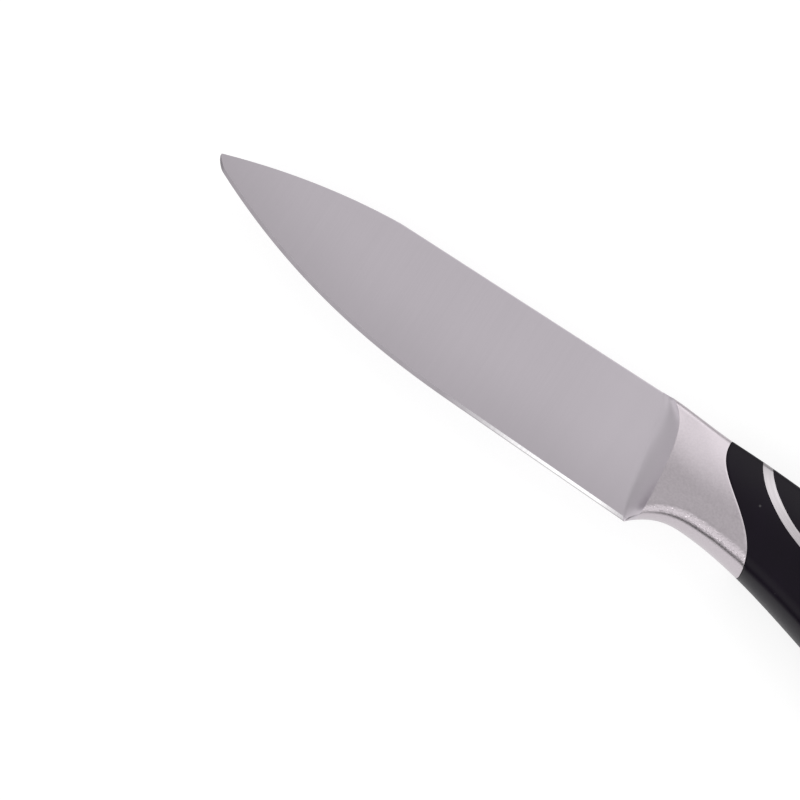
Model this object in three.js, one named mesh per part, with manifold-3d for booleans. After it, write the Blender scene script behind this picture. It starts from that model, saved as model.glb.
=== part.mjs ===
// Small kitchen knife with a forged-look bolster, a two-piece black grip and a steel bow let into each side.
// Millimetres. X runs from the point to the butt with 0 at the heel, Y runs up to the spine with 0 on the
// straight spine, Z is across the knife with 0 on the middle plane.

import * as THREE from "three";
import { mergeVertices } from "three/addons/utils/BufferGeometryUtils.js";
import Module from "manifold-3d";

const wasm = await Module();
wasm.setup();

// Blade
const BLADE_LENGTH = 87.6;
const BLADE_HEIGHT = 21.4;
const SPINE_THICKNESS = 1.8;
const EDGE_THICKNESS = 0.5;
const BEVEL_HEIGHT = 0.65;
const KEEN_THICKNESS = 0.04;
const SPINE_CHAMFER = 0.2;
const STRAIGHT_SPINE = 56.7;
const POINT_DROP = 6.35;
const POINT_LENGTH = 2.5;
const POINT_FLAT = 0.05;
const STRAIGHT_EDGE = 33.5;
const EDGE_SLOPE = 0.031;
const BELLY_RISE = 11;

// Tang, cut from the same sheet as the blade
const TANG_DEPTH = 9;
const TANG_HEIGHT = 9;
const TANG_END_HEIGHT = 7;
const TANG_ROOT = 0.3;
const TANG_IN_CAP = 4.5;

// Bolster: the scoop runs from the blade up to a crisp ridge, which sweeps forward from the belly and hooks
// forward at the spine; the joint line swings back to the belly and trails further back under it
const SCOOP_REACH = 4.8;
const SCOOP_LIP = 0.2;
const RIDGE_SETBACK = 1.45;
const RIDGE_SWEEP = 2.5;
const RIDGE_HOOK = 2.9;
const RIDGE_SHARE = 0.9;
const RIDGE_FLOW = 9;
const JOINT_SPINE = 7.8;
const JOINT_BELLY = 19.5;
const JOINT_TAIL = 1.1;

// Grip outline and section
const HANDLE_LENGTH = 112;
const HANDLE_THICKNESS = 13;
const COLLAR_THICKNESS = 7;
const FLARE_LENGTH = 33;
const SPINE_STEP = 1;
const HANDLE_DROOP = 7.5;
const DROOP_TO_BUTT = 15.7;
const CHOIL_AT = 9;
const CHOIL_HEIGHT = 16.6;
const SWELL_AT = 56;
const SWELL_HEIGHT = 22.3;
const NECK_TO_BUTT = 23.5;
const NECK_HEIGHT = 18.6;
const BUTT_HEIGHT = 22;
const SHOULDER_HEIGHT = 9;
const SHOULDER_WIDTH = 1.3;
const TOP_ROUND = 0.9;
const CORNER_HEIGHT = 2.4;
const CORNER_WIDTH = 1.3;
const UNDERSIDE_CROWN = 0.2;

// Butt cap
const CAP_LENGTH = 14;
const CAP_LEAN = 5;
const BUTT_RAKE = 5;
const BUTT_ROUND = 3;

// Steel bow let into each side of the grip
const BOW_START = 14.65;
const BOW_TO_BUTT = 8.4;
const BOW_TOP = 0.25;
const BOW_DROP = 14.05;
const BOW_WIDTH = 1.6;
const BOW_DEPTH = 1.2;

// Cross pins through the tang, closed in by grip left between their ends and the bow
const PIN_DIAMETER = 3.2;
const PIN_COVER = 0.8;
const FRONT_PIN_AT = 35.8;
const REAR_PIN_TO_BUTT = 29.1;

// Gap between a piece and the neighbour it is let into or butted against
const GAP = 0.2;

// How fast each curve bends: 1 is straight, 2 is a parabola
const POINT_BEND = 0.67;
const BELLY_BEND = 2.3;
const CHOIL_BEND = 2.2;
const FLARE_BEND = 1.5;
const SCOOP_START_BEND = 0.6;
const SCOOP_BEND = 1.8;
const RIDGE_BEND = 1.7;
const HOOK_BEND = 10;

// Rows of points along each piece; those of the blade crowd towards the point
const BLADE_ROWS = 40;
const POINT_CROWDING = 1.4;
const TANG_ROWS = 24;
const SCOOP_ROWS = 8;
const BOLSTER_ROWS = 9;
const GRIP_ROWS = 26;
const BOW_ROWS = 44;
const CAP_ROWS = 3;
const CAP_ROUND_ROWS = 8;
const PIN_SIDES = 24;

const DROOP_END = HANDLE_LENGTH - DROOP_TO_BUTT;
const NECK_AT = HANDLE_LENGTH - NECK_TO_BUTT;
const BOW_LENGTH = HANDLE_LENGTH - BOW_TO_BUTT - BOW_START;
const REAR_PIN_AT = HANDLE_LENGTH - REAR_PIN_TO_BUTT;
const PIN_LENGTH = HANDLE_THICKNESS - 2 * (BOW_DEPTH + PIN_COVER);

const { lerp, smoothstep, smootherstep, clamp } = THREE.MathUtils;

// Outline: spine and edge of the blade, then top and belly of the bolster and grip
function spineLine(x) {
  const point = clamp((-STRAIGHT_SPINE - x) / (BLADE_LENGTH - STRAIGHT_SPINE), 0, 1);
  const step = SPINE_STEP * smoothstep(x, -SCOOP_REACH, CHOIL_AT);
  const droop = HANDLE_DROOP * smoothstep(x, 0.5 * CHOIL_AT, DROOP_END);
  return -POINT_DROP * lerp(point, point ** 2, POINT_BEND) - step - droop;
}

function edgeLine(x) {
  const along = clamp((-STRAIGHT_EDGE - x) / (BLADE_LENGTH - STRAIGHT_EDGE), 0, 1);
  const edge = -BLADE_HEIGHT - EDGE_SLOPE * x + BELLY_RISE * along ** BELLY_BEND;
  const turn = clamp((BLADE_LENGTH + x) / POINT_LENGTH, 0, 1);
  return lerp(spineLine(x), edge, Math.sqrt(1 - (1 - turn) ** 2));
}

function gripHeight(x) {
  const finger = 1 - clamp(x / CHOIL_AT, 0, 1);
  const heel = BLADE_HEIGHT + spineLine(0) - CHOIL_HEIGHT;
  const swell = (SWELL_HEIGHT - CHOIL_HEIGHT) * smoothstep(x, CHOIL_AT, SWELL_AT);
  const neck = (NECK_HEIGHT - SWELL_HEIGHT) * smoothstep(x, SWELL_AT, NECK_AT);
  const butt = (BUTT_HEIGHT - NECK_HEIGHT) * smoothstep(x, NECK_AT, HANDLE_LENGTH);
  return CHOIL_HEIGHT + heel * finger ** CHOIL_BEND + swell + neck + butt;
}

function bellyLine(x) {
  return x < 0 ? edgeLine(x) : spineLine(x) - gripHeight(x);
}

// Half thickness of the flat-ground blade and of the flared grip
function bladeHalf(x, y) {
  const grind = (SPINE_THICKNESS - EDGE_THICKNESS) / 2 / BLADE_HEIGHT;
  return EDGE_THICKNESS / 2 + grind * (y - edgeLine(x));
}

function gripHalf(x) {
  const left = 1 - clamp(x / FLARE_LENGTH, 0, 1);
  return lerp(HANDLE_THICKNESS, COLLAR_THICKNESS, left ** FLARE_BEND) / 2;
}

// Cross lines on the side view; share is 0 on the belly and 1 on the spine
const hook = (share) => RIDGE_HOOK * share ** HOOK_BEND;
const scoopStart = (share) => -SCOOP_REACH * share ** SCOOP_START_BEND - hook(share);
const ridgeLine = (share) => RIDGE_SETBACK - RIDGE_SWEEP * share ** RIDGE_BEND - hook(share);
const jointLine = (share) => {
  const swing = lerp(JOINT_BELLY, JOINT_SPINE, smootherstep(share, 0, 1));
  return swing + JOINT_TAIL * (1 - share) ** HOOK_BEND;
};
const capLine = (share) => HANDLE_LENGTH - CAP_LENGTH + CAP_LEAN * smoothstep(share, 0, 1);
const buttLine = (share) => HANDLE_LENGTH - BUTT_RAKE * share ** 2;

// Shares from 0 to 1 in even steps, and the same without the 0
const steps = (count) => Array.from({ length: count + 1 }, (unused, i) => i / count);
const laterSteps = (count) => steps(count).slice(1);

// Right half of a grip section as pairs of rise above the belly and distance from the middle plane:
// crowned underside, rounded lower corner, flat side, soft shoulder, small top round
const CORNER_TURN = 0.4 * Math.PI;
const TOP_TURN = 0.1 * Math.PI;

function halfSection(height, half) {
  const flat = half - CORNER_WIDTH;
  const crown = UNDERSIDE_CROWN * flat;
  const under = laterSteps(3).map((t) => [crown * t ** 2, flat * t]);
  const corner = laterSteps(4).map((t) => {
    const turn = CORNER_TURN * (1 - t);
    const rise = 1 - Math.sin(turn) / Math.sin(CORNER_TURN);
    const wide = (Math.cos(turn) - Math.cos(CORNER_TURN)) / (1 - Math.cos(CORNER_TURN));
    return [crown + CORNER_HEIGHT * rise, flat + CORNER_WIDTH * wide];
  });
  const low = crown + CORNER_HEIGHT;
  const high = height - TOP_ROUND - SHOULDER_HEIGHT;
  const side = laterSteps(3).map((t) => [lerp(low, high, t), half]);
  const shoulder = laterSteps(3).map((t) => [high + SHOULDER_HEIGHT * t, half - SHOULDER_WIDTH * t ** 2]);
  const top = laterSteps(3).map((t) => {
    const turn = lerp(TOP_TURN, Math.PI / 2, t);
    const inward = TOP_ROUND * (Math.cos(TOP_TURN) - Math.cos(turn));
    const rise = (Math.sin(turn) - Math.sin(TOP_TURN)) / (1 - Math.sin(TOP_TURN));
    return [height - TOP_ROUND * (1 - rise), half - SHOULDER_WIDTH - inward];
  });
  return [...under, ...corner, ...side, ...shoulder, ...top];
}

// One closed ring of the grip skin on the cross line "place", drawn in by "inset"
function gripRing(place, inset = 0, shape = (x, y, z) => z) {
  const middle = place(0.5);
  const height = gripHeight(middle) - 2 * inset;
  const half = gripHalf(middle) - inset;
  const right = halfSection(height, half).map(([rise, z]) => {
    const share = rise / height;
    const x = place(share);
    const belly = bellyLine(x) + inset;
    const y = lerp(belly, spineLine(x) - inset, share);
    const wide = (z * (gripHalf(x) - inset)) / half;
    return new THREE.Vector3(x, y, shape(x, y, wide, share));
  });
  const left = right.map((p) => new THREE.Vector3(p.x, p.y, -p.z)).reverse();
  return [...right, ...left];
}

// Skin over a row of rings; each end is closed by a strip between the two halves of its ring
function loft(rings) {
  const count = rings[0].length;
  const index = [];
  for (let row = 0; row + 1 < rings.length; row += 1) {
    for (let i = 0; i < count; i += 1) {
      const a = row * count + i;
      const b = row * count + ((i + 1) % count);
      index.push(a, a + count, b, b, a + count, b + count);
    }
  }
  const last = (rings.length - 1) * count;
  for (let i = 0; i + 1 < count / 2; i += 1) {
    const far = count - 1 - i;
    index.push(i, i + 1, far, i + 1, far - 1, far);
    index.push(last + i, last + far, last + i + 1, last + i + 1, last + far, last + far - 1);
  }
  const geometry = new THREE.BufferGeometry().setFromPoints(rings.flat());
  geometry.setIndex(index);
  return solid(geometry);
}

function solid(geometry) {
  geometry.deleteAttribute("normal");
  geometry.deleteAttribute("uv");
  const merged = mergeVertices(geometry, 1e-5);
  const vertProperties = new Float32Array(merged.attributes.position.array);
  const triVerts = new Uint32Array(merged.index.array);
  return new wasm.Manifold(new wasm.Mesh({ numProp: 3, vertProperties, triVerts }));
}

// Flat plate of a side-view outline, centred on the middle plane
function plate(shape, thickness) {
  const geometry = new THREE.ExtrudeGeometry(shape, { depth: thickness, bevelEnabled: false });
  geometry.translate(0, 0, -thickness / 2);
  return solid(geometry);
}

// Ground blade from the point to the heel; "grow" widens it for the pocket in the bolster
function groundBlade(grow) {
  const rings = steps(BLADE_ROWS).map((t) => {
    const x = lerp(-BLADE_LENGTH + POINT_FLAT, grow, t ** POINT_CROWDING);
    const spine = spineLine(x) + grow;
    const edge = edgeLine(x) - grow;
    const bevel = lerp(edge, spine, BEVEL_HEIGHT / (BEVEL_HEIGHT + spine - edge));
    const top = bladeHalf(x, spine) + grow;
    const right = [
      [edge, KEEN_THICKNESS / 2 + grow],
      [bevel, bladeHalf(x, bevel) + grow],
      [lerp(spine, bevel, SPINE_CHAMFER / BLADE_HEIGHT), top],
      [spine, top * (1 - SPINE_CHAMFER / (SPINE_THICKNESS / 2 + grow))],
    ].map(([y, z]) => new THREE.Vector3(x, y, z));
    const left = right.map((p) => new THREE.Vector3(p.x, p.y, -p.z)).reverse();
    return [...right, ...left];
  });
  return loft(rings);
}

// Stick tang that runs through bolster and grip into the cap, a fixed depth below the spine line
const TANG_END = HANDLE_LENGTH - CAP_LENGTH + CAP_LEAN / 2 + TANG_IN_CAP;
const tangAxis = (x) => spineLine(x) - TANG_DEPTH;

function tang(grow) {
  const row = steps(TANG_ROWS).map((t) => {
    const x = lerp(-TANG_ROOT - grow, TANG_END + grow, t);
    return { x, y: tangAxis(x), half: lerp(TANG_HEIGHT, TANG_END_HEIGHT, t) / 2 + grow };
  });
  const over = row.map(({ x, y, half }) => new THREE.Vector2(x, y + half));
  const under = row.map(({ x, y, half }) => new THREE.Vector2(x, y - half)).reverse();
  return plate(new THREE.Shape([...under, ...over]), SPINE_THICKNESS + 2 * grow);
}

function pinAt(x, grow) {
  const pin = new THREE.CylinderGeometry(
    PIN_DIAMETER / 2 + grow,
    PIN_DIAMETER / 2 + grow,
    PIN_LENGTH + 2 * grow,
    PIN_SIDES,
  );
  pin.rotateX(Math.PI / 2);
  pin.translate(x, tangAxis(x), 0);
  return solid(pin);
}

// Lower half of an elliptic band, drawn up past the spine at both ends
function bowBand(grow) {
  const long = BOW_LENGTH / 2;
  const wide = BOW_WIDTH / 2 + grow;
  const middle = BOW_START + long;
  const centre = -BOW_TOP;
  const high = centre + HANDLE_THICKNESS;
  const arc = (offset) => steps(BOW_ROWS).map((t) => {
    const turn = Math.PI * (1 + t);
    const x = middle + (long + offset) * Math.cos(turn);
    return new THREE.Vector2(x, centre + (BOW_DROP + offset) * Math.sin(turn));
  });
  const outer = [new THREE.Vector2(middle - long - wide, high), ...arc(wide)];
  const inner = [...arc(-wide).reverse(), new THREE.Vector2(middle - long + wide, high)];
  const ends = [
    new THREE.Vector2(middle + long + wide, high),
    new THREE.Vector2(middle + long - wide, high),
  ];
  return plate(new THREE.Shape([...outer, ...ends, ...inner]), 2 * HANDLE_THICKNESS);
}

// Grip skin between bolster and cap
function gripBody(inset) {
  const front = (share) => jointLine(share) + GAP / 2;
  const rear = (share) => capLine(share) - GAP / 2;
  return loft(steps(GRIP_ROWS).map((t) => gripRing((share) => lerp(front(share), rear(share), t), inset)));
}

// Bolster skin: scoop from blade to ridge, then a soft flow from ridge to joint
function bolsterBody() {
  const base = (x, y) => bladeHalf(x, y) + GAP + SCOOP_LIP;
  const scoop = steps(SCOOP_ROWS).map((t) => gripRing(
    (share) => lerp(scoopStart(share), ridgeLine(share), t),
    0,
    (x, y, z) => lerp(base(x, y), z, RIDGE_SHARE * t ** SCOOP_BEND),
  ));
  const rear = (share) => jointLine(share) - GAP / 2;
  const body = laterSteps(BOLSTER_ROWS).map((t) => gripRing(
    (share) => lerp(ridgeLine(share), rear(share), t),
    0,
    (x, y, z, share) => {
      const left = 1 - clamp((x - ridgeLine(share)) / RIDGE_FLOW, 0, 1);
      return lerp(z, base(x, y), (1 - RIDGE_SHARE) * left ** 2);
    },
  ));
  return loft([...scoop, ...body]);
}

// Cap skin: short body, then a rounded end
function capBody() {
  const front = (share) => capLine(share) + GAP / 2;
  const shoulder = (share) => buttLine(share) - BUTT_ROUND;
  const body = steps(CAP_ROWS).map((t) => gripRing((share) => lerp(front(share), shoulder(share), t)));
  const round = laterSteps(CAP_ROUND_ROWS).map((t) => {
    const turn = (t * Math.PI) / 2;
    const inset = BUTT_ROUND * (1 - Math.cos(turn));
    return gripRing((share) => shoulder(share) + BUTT_ROUND * Math.sin(turn), inset);
  });
  return loft([...body, ...round]);
}

const satinSteel = { color: 0xb4aeb3, metalness: 1, roughness: 0.36 };
const castSteel = { color: 0xc4c1c3, metalness: 1, roughness: 0.42 };
const brushedSteel = { color: 0xcfccce, metalness: 1, roughness: 0.3 };
const pinSteel = { color: 0x98989b, metalness: 1, roughness: 0.45 };
const blackPlastic = { color: 0x1e1b22, metalness: 0, roughness: 0.46 };

const group = new THREE.Group();
group.name = "kitchen_knife";

function piece(name, body, look) {
  const { vertProperties, triVerts } = body.getMesh();
  const geometry = new THREE.BufferGeometry();
  geometry.setAttribute("position", new THREE.BufferAttribute(new Float32Array(vertProperties), 3));
  geometry.setIndex(new THREE.BufferAttribute(new Uint32Array(triVerts), 1));
  geometry.computeVertexNormals();
  const mesh = new THREE.Mesh(geometry, new THREE.MeshStandardMaterial(look));
  mesh.name = name;
  group.add(mesh);
}

const join = (...bodies) => wasm.Manifold.union(bodies);
const pinHoles = join(pinAt(FRONT_PIN_AT, GAP), pinAt(REAR_PIN_AT, GAP));
const tangRoom = tang(GAP);

const blade = join(groundBlade(0), tang(0)).subtract(pinHoles);
const bolster = bolsterBody().subtract(join(groundBlade(GAP), tangRoom));
const cap = capBody().subtract(tangRoom);

const bows = gripBody(0).intersect(bowBand(0)).subtract(gripBody(BOW_DEPTH));
const bowGroove = bowBand(GAP).subtract(gripBody(BOW_DEPTH + GAP));
const grip = gripBody(0).subtract(join(bowGroove, tangRoom, pinHoles));
const [gripLeft, gripRight] = grip.splitByPlane([0, 0, 1], 0);
const [bowLeft, bowRight] = bows.splitByPlane([0, 0, 1], 0);

piece("blade", blade, satinSteel);
piece("bolster", bolster, castSteel);
piece("handle_half_left", gripLeft, blackPlastic);
piece("handle_half_right", gripRight, blackPlastic);
piece("bow_strip_left", bowLeft, brushedSteel);
piece("bow_strip_right", bowRight, brushedSteel);
piece("butt_cap", cap, castSteel);
piece("tang_pin_front", pinAt(FRONT_PIN_AT, 0), pinSteel);
piece("tang_pin_rear", pinAt(REAR_PIN_AT, 0), pinSteel);

// The knife lies on its right side with the middle of its footprint over the origin
const bounds = new THREE.Box3().setFromObject(group);
const middle = bounds.getCenter(new THREE.Vector3());
group.position.set(-middle.x, -middle.y, -bounds.min.z);
group.updateMatrixWorld(true);

export default group;
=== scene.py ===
"""Dresses the kitchen knife: fine skins for blade, bolster, grip, bows and cap,
their finishes, and the studio.
"""

import math

import bpy
import numpy as np
from bpy.props import FloatProperty, FloatVectorProperty, PointerProperty
from mathutils import Matrix, Vector


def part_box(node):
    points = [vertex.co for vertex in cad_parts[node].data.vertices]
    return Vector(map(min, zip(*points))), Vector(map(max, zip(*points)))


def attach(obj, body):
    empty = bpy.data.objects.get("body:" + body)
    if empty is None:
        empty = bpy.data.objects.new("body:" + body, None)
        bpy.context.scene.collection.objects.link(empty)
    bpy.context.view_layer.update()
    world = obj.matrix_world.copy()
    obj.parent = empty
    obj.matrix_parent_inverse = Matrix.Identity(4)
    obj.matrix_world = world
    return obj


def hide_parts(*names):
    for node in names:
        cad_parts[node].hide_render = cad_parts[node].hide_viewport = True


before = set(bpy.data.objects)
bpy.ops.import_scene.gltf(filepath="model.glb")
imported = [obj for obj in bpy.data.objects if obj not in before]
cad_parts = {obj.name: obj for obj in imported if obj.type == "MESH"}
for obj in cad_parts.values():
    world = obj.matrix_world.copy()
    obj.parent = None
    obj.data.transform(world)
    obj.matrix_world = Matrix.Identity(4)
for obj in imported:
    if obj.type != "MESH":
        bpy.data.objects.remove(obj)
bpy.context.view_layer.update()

bl_info = {
    "name": "Kitchen Knife",
    "version": (1, 0, 0),
    "blender": (4, 5, 0),
    "location": "View3D > Sidebar > Knife",
    "description": "Builds a small kitchen knife with a scooped bolster and a bowed black grip",
    "category": "Add Mesh",
}

# Heel to butt, and the row's place for the heel: on the spine line, in the middle plane
GRIP_LENGTH = 0.112
HEEL = np.array([
    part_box("butt_cap")[1].x - GRIP_LENGTH,
    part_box("blade")[1].y,
    (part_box("handle_half_left")[1].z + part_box("handle_half_right")[0].z) / 2,
])


# Settings


def size(label, value, about):
    """A length in metres that a user may change."""
    return FloatProperty(name=label, description=about, default=value, unit="LENGTH", precision=5)


def factor(label, value, about, **kind):
    """A plain number that a user may change; kind may give its unit or subtype."""
    return FloatProperty(name=label, description=about, default=value, precision=4, **kind)


def angle(label, degrees, about):
    """An angle, written in degrees."""
    value = math.radians(degrees)
    return FloatProperty(name=label, description=about, default=value, subtype="ANGLE")


def colour(label, value, about):
    """A linear colour."""
    return FloatVectorProperty(
        name=label, description=about, default=value, subtype="COLOR", size=3, min=0, max=1
    )


class BladeSizes(bpy.types.PropertyGroup):
    """Outline and grind of the blade, and the tang behind it."""

    length: size("Length", 0.0876, "Point to heel")
    height: size("Height", 0.0214, "Edge to spine at the heel")
    spine_thickness: size("Spine thickness", 0.0018, "Across the spine")
    edge_thickness: size("Edge thickness", 0.0005, "Across the blade just above the bevel")
    keen_thickness: size("Keen thickness", 0.00004, "Across the cutting edge itself")
    bevel_height: size("Bevel height", 0.00065, "Height of the cutting bevel")
    chamfer: size("Spine chamfer", 0.0002, "Broken edge along the spine")
    straight_spine: size("Straight spine", 0.0567, "Heel to where the spine starts to drop")
    point_drop: size("Point drop", 0.00635, "How far the point lies below the spine")
    point_length: size("Point length", 0.0019, "Length of the rounded point")
    point_flat: size("Point flat", 0.00005, "What the point lacks of a perfect tip")
    point_bend: factor("Point bend", 0.67, "How much of the drop is curved")
    straight_edge: size("Straight edge", 0.0335, "Heel to where the belly starts to rise")
    edge_slope: factor("Edge slope", 0.031, "Rise of the straight edge towards the point")
    belly_rise: size("Belly rise", 0.01078, "How far the edge rises to the point")
    belly_bend: factor("Belly bend", 2.3, "How late the belly rises")
    tang_depth: size("Tang depth", 0.009, "Middle of the tang below the spine line")
    tang_height: size("Tang height", 0.009, "Height of the tang at the heel")
    tang_end_height: size("Tang end height", 0.007, "Height of the tang at its tail")
    tang_in_cap: size("Tang in cap", 0.0045, "How far the tail reaches into the cap")


class BolsterSizes(bpy.types.PropertyGroup):
    """Scoop, ridge and joint line of the bolster."""

    scoop_reach: size("Scoop reach", 0.0048, "How far the scoop runs onto the blade at the spine")
    scoop_start_bend: factor("Scoop start bend", 0.6, "How the start of the scoop curves")
    scoop_hook: factor("Scoop hook", 0.35, "Share of the ridge's hook at the start of the scoop")
    scoop_bend: factor("Scoop bend", 2.0, "How late the scoop rises to the ridge at the spine")
    scoop_bend_belly: factor(
        "Scoop bend at belly", 1.5, "How late the scoop rises to the ridge at the belly"
    )
    feather: size("Feather edge", 0.00003, "Thickness of the scoop where it meets the blade")
    ridge_setback: size("Ridge setback", 0.00145, "Ridge behind the heel at the belly")
    ridge_sweep: size("Ridge sweep", 0.0025, "How far the ridge sweeps forward on its way up")
    ridge_bend: factor("Ridge bend", 1.7, "How the sweep curves")
    ridge_hook: size("Ridge hook", 0.0029, "How far the ridge hooks forward at the spine")
    hook_bend: factor("Hook bend", 10.0, "How late the hook starts")
    ridge_share: factor("Ridge share", 0.9, "Thickness at the ridge as a share of the full side")
    ridge_flow: size("Ridge flow", 0.009, "Length in which the side swells behind the ridge")
    joint_spine: size("Joint at spine", 0.0078, "Joint with the grip, behind the heel, at the spine")
    joint_belly: size("Joint at belly", 0.0195, "Joint with the grip, behind the heel, at the belly")
    joint_tail: size("Joint tail", 0.0011, "How far the joint trails back under the belly")


class GripSizes(bpy.types.PropertyGroup):
    """Outline and section of bolster, grip and cap."""

    length: size("Length", GRIP_LENGTH, "Heel to butt")
    thickness: size("Thickness", 0.01295, "Across the grip")
    collar: size("Collar thickness", 0.007, "Across the bolster at the heel")
    flare: size("Flare", 0.033, "Length over which the collar widens to the grip")
    flare_bend: factor("Flare bend", 1.5, "How soon the flare levels out")
    spine_step: size("Spine step", 0.001, "Step down from the blade's spine")
    droop: size("Droop", 0.0075, "How far the butt hangs below the spine")
    droop_to_butt: size("Droop to butt", 0.0157, "End of the droop in front of the butt")
    choil_at: size("Choil place", 0.009, "Deepest point of the finger notch behind the heel")
    choil_height: size("Choil height", 0.0166, "Height at the finger notch")
    choil_bend: factor("Choil bend", 2.2, "How late the finger notch drops to the heel")
    swell_at: size("Swell place", 0.056, "Palm swell behind the heel")
    swell_height: size("Swell height", 0.0223, "Height at the palm swell")
    neck_to_butt: size("Neck to butt", 0.0235, "Slim neck in front of the butt")
    neck_height: size("Neck height", 0.0186, "Height at the neck")
    butt_height: size("Butt height", 0.02188, "Height at the butt")
    shoulder_height: size("Shoulder height", 0.009, "Height of the soft shoulder under the spine")
    shoulder_width: size("Shoulder width", 0.0013, "How far the shoulder draws in")
    top_round: size("Top round", 0.0009, "Rounding of the spine's edges")
    corner_height: size("Corner height", 0.0024, "Height of the lower corner")
    corner_width: size("Corner width", 0.0013, "Width of the lower corner")
    crown: factor("Underside crown", 0.2, "Rise of the underside towards its corners")
    cap_length: size("Cap length", 0.014, "Length of the butt cap at the belly")
    cap_lean: size("Cap lean", 0.005, "How far the cap's joint leans back")
    butt_rake: size("Butt rake", 0.005, "How far the butt is cut back at the spine")
    butt_round: size("Butt round", 0.003, "Rounding of the butt")
    seam: size("Seam", 0.00004, "Gap at each joint")
    seam_round: size("Seam round", 0.00007, "Rounded rim at each joint")


class BowSizes(bpy.types.PropertyGroup):
    """Steel bow let into each side."""

    start: size("Start", 0.01465, "Front end of the bow behind the heel")
    to_butt: size("To butt", 0.0084, "Rear end of the bow in front of the butt")
    top: size("Top", 0.00025, "Ends of the bow below the blade's spine")
    drop: size("Drop", 0.01405, "How deep the bow hangs")
    width: size("Width", 0.0016, "Width of the strip")
    flare: size("Flare", 0.00023, "How much wider the strip gets toward its ends")
    pinch: size("Pinch", 0.0003, "How far the bow draws in on its way down from each end")
    depth: size("Depth", 0.0012, "How deep the strip is let in")
    proud: size("Proud", 0.00002, "How far the strip stands out")


class KnifeColours(bpy.types.PropertyGroup):
    """Colours of steel and plastic."""

    blade: colour("Blade", (0.636, 0.59, 0.636), "Satin steel of the blade")
    # Steel of the bevel, brighter than the blade; its brightness is partly a painted highlight
    bevel: colour("Bevel", (0.8, 0.79, 0.8), "Bright steel of the cutting bevel")
    bolster: colour("Bolster", (0.556, 0.508, 0.541), "Satin casting of bolster and cap")
    bow: colour("Bow", (0.53, 0.5, 0.52), "Brushed steel of the bows")
    pin: colour("Pin", (0.32, 0.32, 0.33), "Plain steel of the hidden pins")
    grip: colour("Grip", (0.003, 0.0004, 0.0055), "Black plastic of the grip")
    # Painted sheen: a lighter black for faces turned toward the spine, where the light falls
    spine_sheen: colour("Palm", (0.0085, 0.006, 0.0105), "Grip worn lighter along its spine")
    dust: colour("Dust", (0.06, 0.055, 0.06), "Dust on the grip")
    floor: colour("Floor", (0.33, 0.33, 0.33), "Pale studio floor")


class StageSettings(bpy.types.PropertyGroup):
    """Camera, floor and light."""

    tilt: angle("Tilt", 10.16, "Camera leans this far towards the cutting edge")
    turn: angle("Turn", 32.84, "Fall of the knife's long axis in the picture")
    lens: factor("Lens", 200.0, "Focal length", unit="CAMERA")
    sensor: factor("Sensor", 36.0, "Sensor width", unit="CAMERA")
    picture: factor("Picture", 800.0, "Width and height of the picture", subtype="PIXEL")
    heel_right: factor("Heel right", 692.57, "Heel on the spine, from the left", subtype="PIXEL")
    heel_down: factor("Heel down", 412.52, "Heel on the spine, from the top", subtype="PIXEL")
    pixel: size("Pixel", 0.001 / 6.117, "What one pixel covers at the middle plane")
    floor_size: size("Floor size", 6.0, "Side of the floor")
    floor_fill: factor("Floor fill", 0.77, "What the floor adds to its own light towards white")


# Steps round one side of the section, from the belly to the spine
UNDER_STEPS = 8
CORNER_STEPS = 14
SIDE_STEPS = 12
SHOULDER_STEPS = 14
TOP_STEPS = 8

# How far the lower corner turns, and where the rounding of the spine's edge starts
CORNER_TURN = 0.4 * math.pi
TOP_TURN = 0.1 * math.pi

# Steps along each piece, and points round a pin
BLADE_STEPS = 200
FACE_STEPS = 10
TANG_STEPS = 40
TANG_POINTS = 12
SCOOP_STEPS = 26
CHEEK_STEPS = 44
GRIP_STEPS = 170
BOW_STEPS = 180
CAP_STEPS = 20
BUTT_STEPS = 16
RIM_STEPS = 3
PIN_POINTS = 32

# How closely steps crowd toward the blade's point and the bolster's ridge
POINT_CROWDING = 1.3
RIDGE_CROWDING = 1.5

# Shares of the height between which the scoop takes on its bend at the spine
SCOOP_CHANGE = (0.5, 0.95)
RIDGE_PASSES = 2

# Angles from either end of the bow between which it draws in, runs out again and narrows
PINCH_RISE = np.radians((3, 15))
PINCH_FALL = np.radians((22, 38))
FLARE_FADE = np.radians((16, 40))

# Degrees past which an edge stays crisp
PLAIN_CREASE = 35
BLADE_CREASE = 14
CARVED_CREASE = 40

# Room round tang and pins, and how far cutters run past what they cut
ROOM = 0.0001
TANG_LEAD = 0.0005
SLOT_RIM = 0.0002
CORE_OVERRUN = 0.02

PIN_NODES = ("tang_pin_front", "tang_pin_rear")


# Outline and sections, in metres from the heel on the spine


def smooth(x, low, high):
    """Smooth rise from 0 at low to 1 at high."""
    t = np.clip((x - low) / (high - low), 0, 1)
    return t * t * (3 - 2 * t)


def mix(a, b, t):
    """Value between a and b."""
    return a + (b - a) * t


def steps(count):
    """Shares from 0 to 1 in even steps."""
    return np.linspace(0, 1, count + 1)


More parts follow.
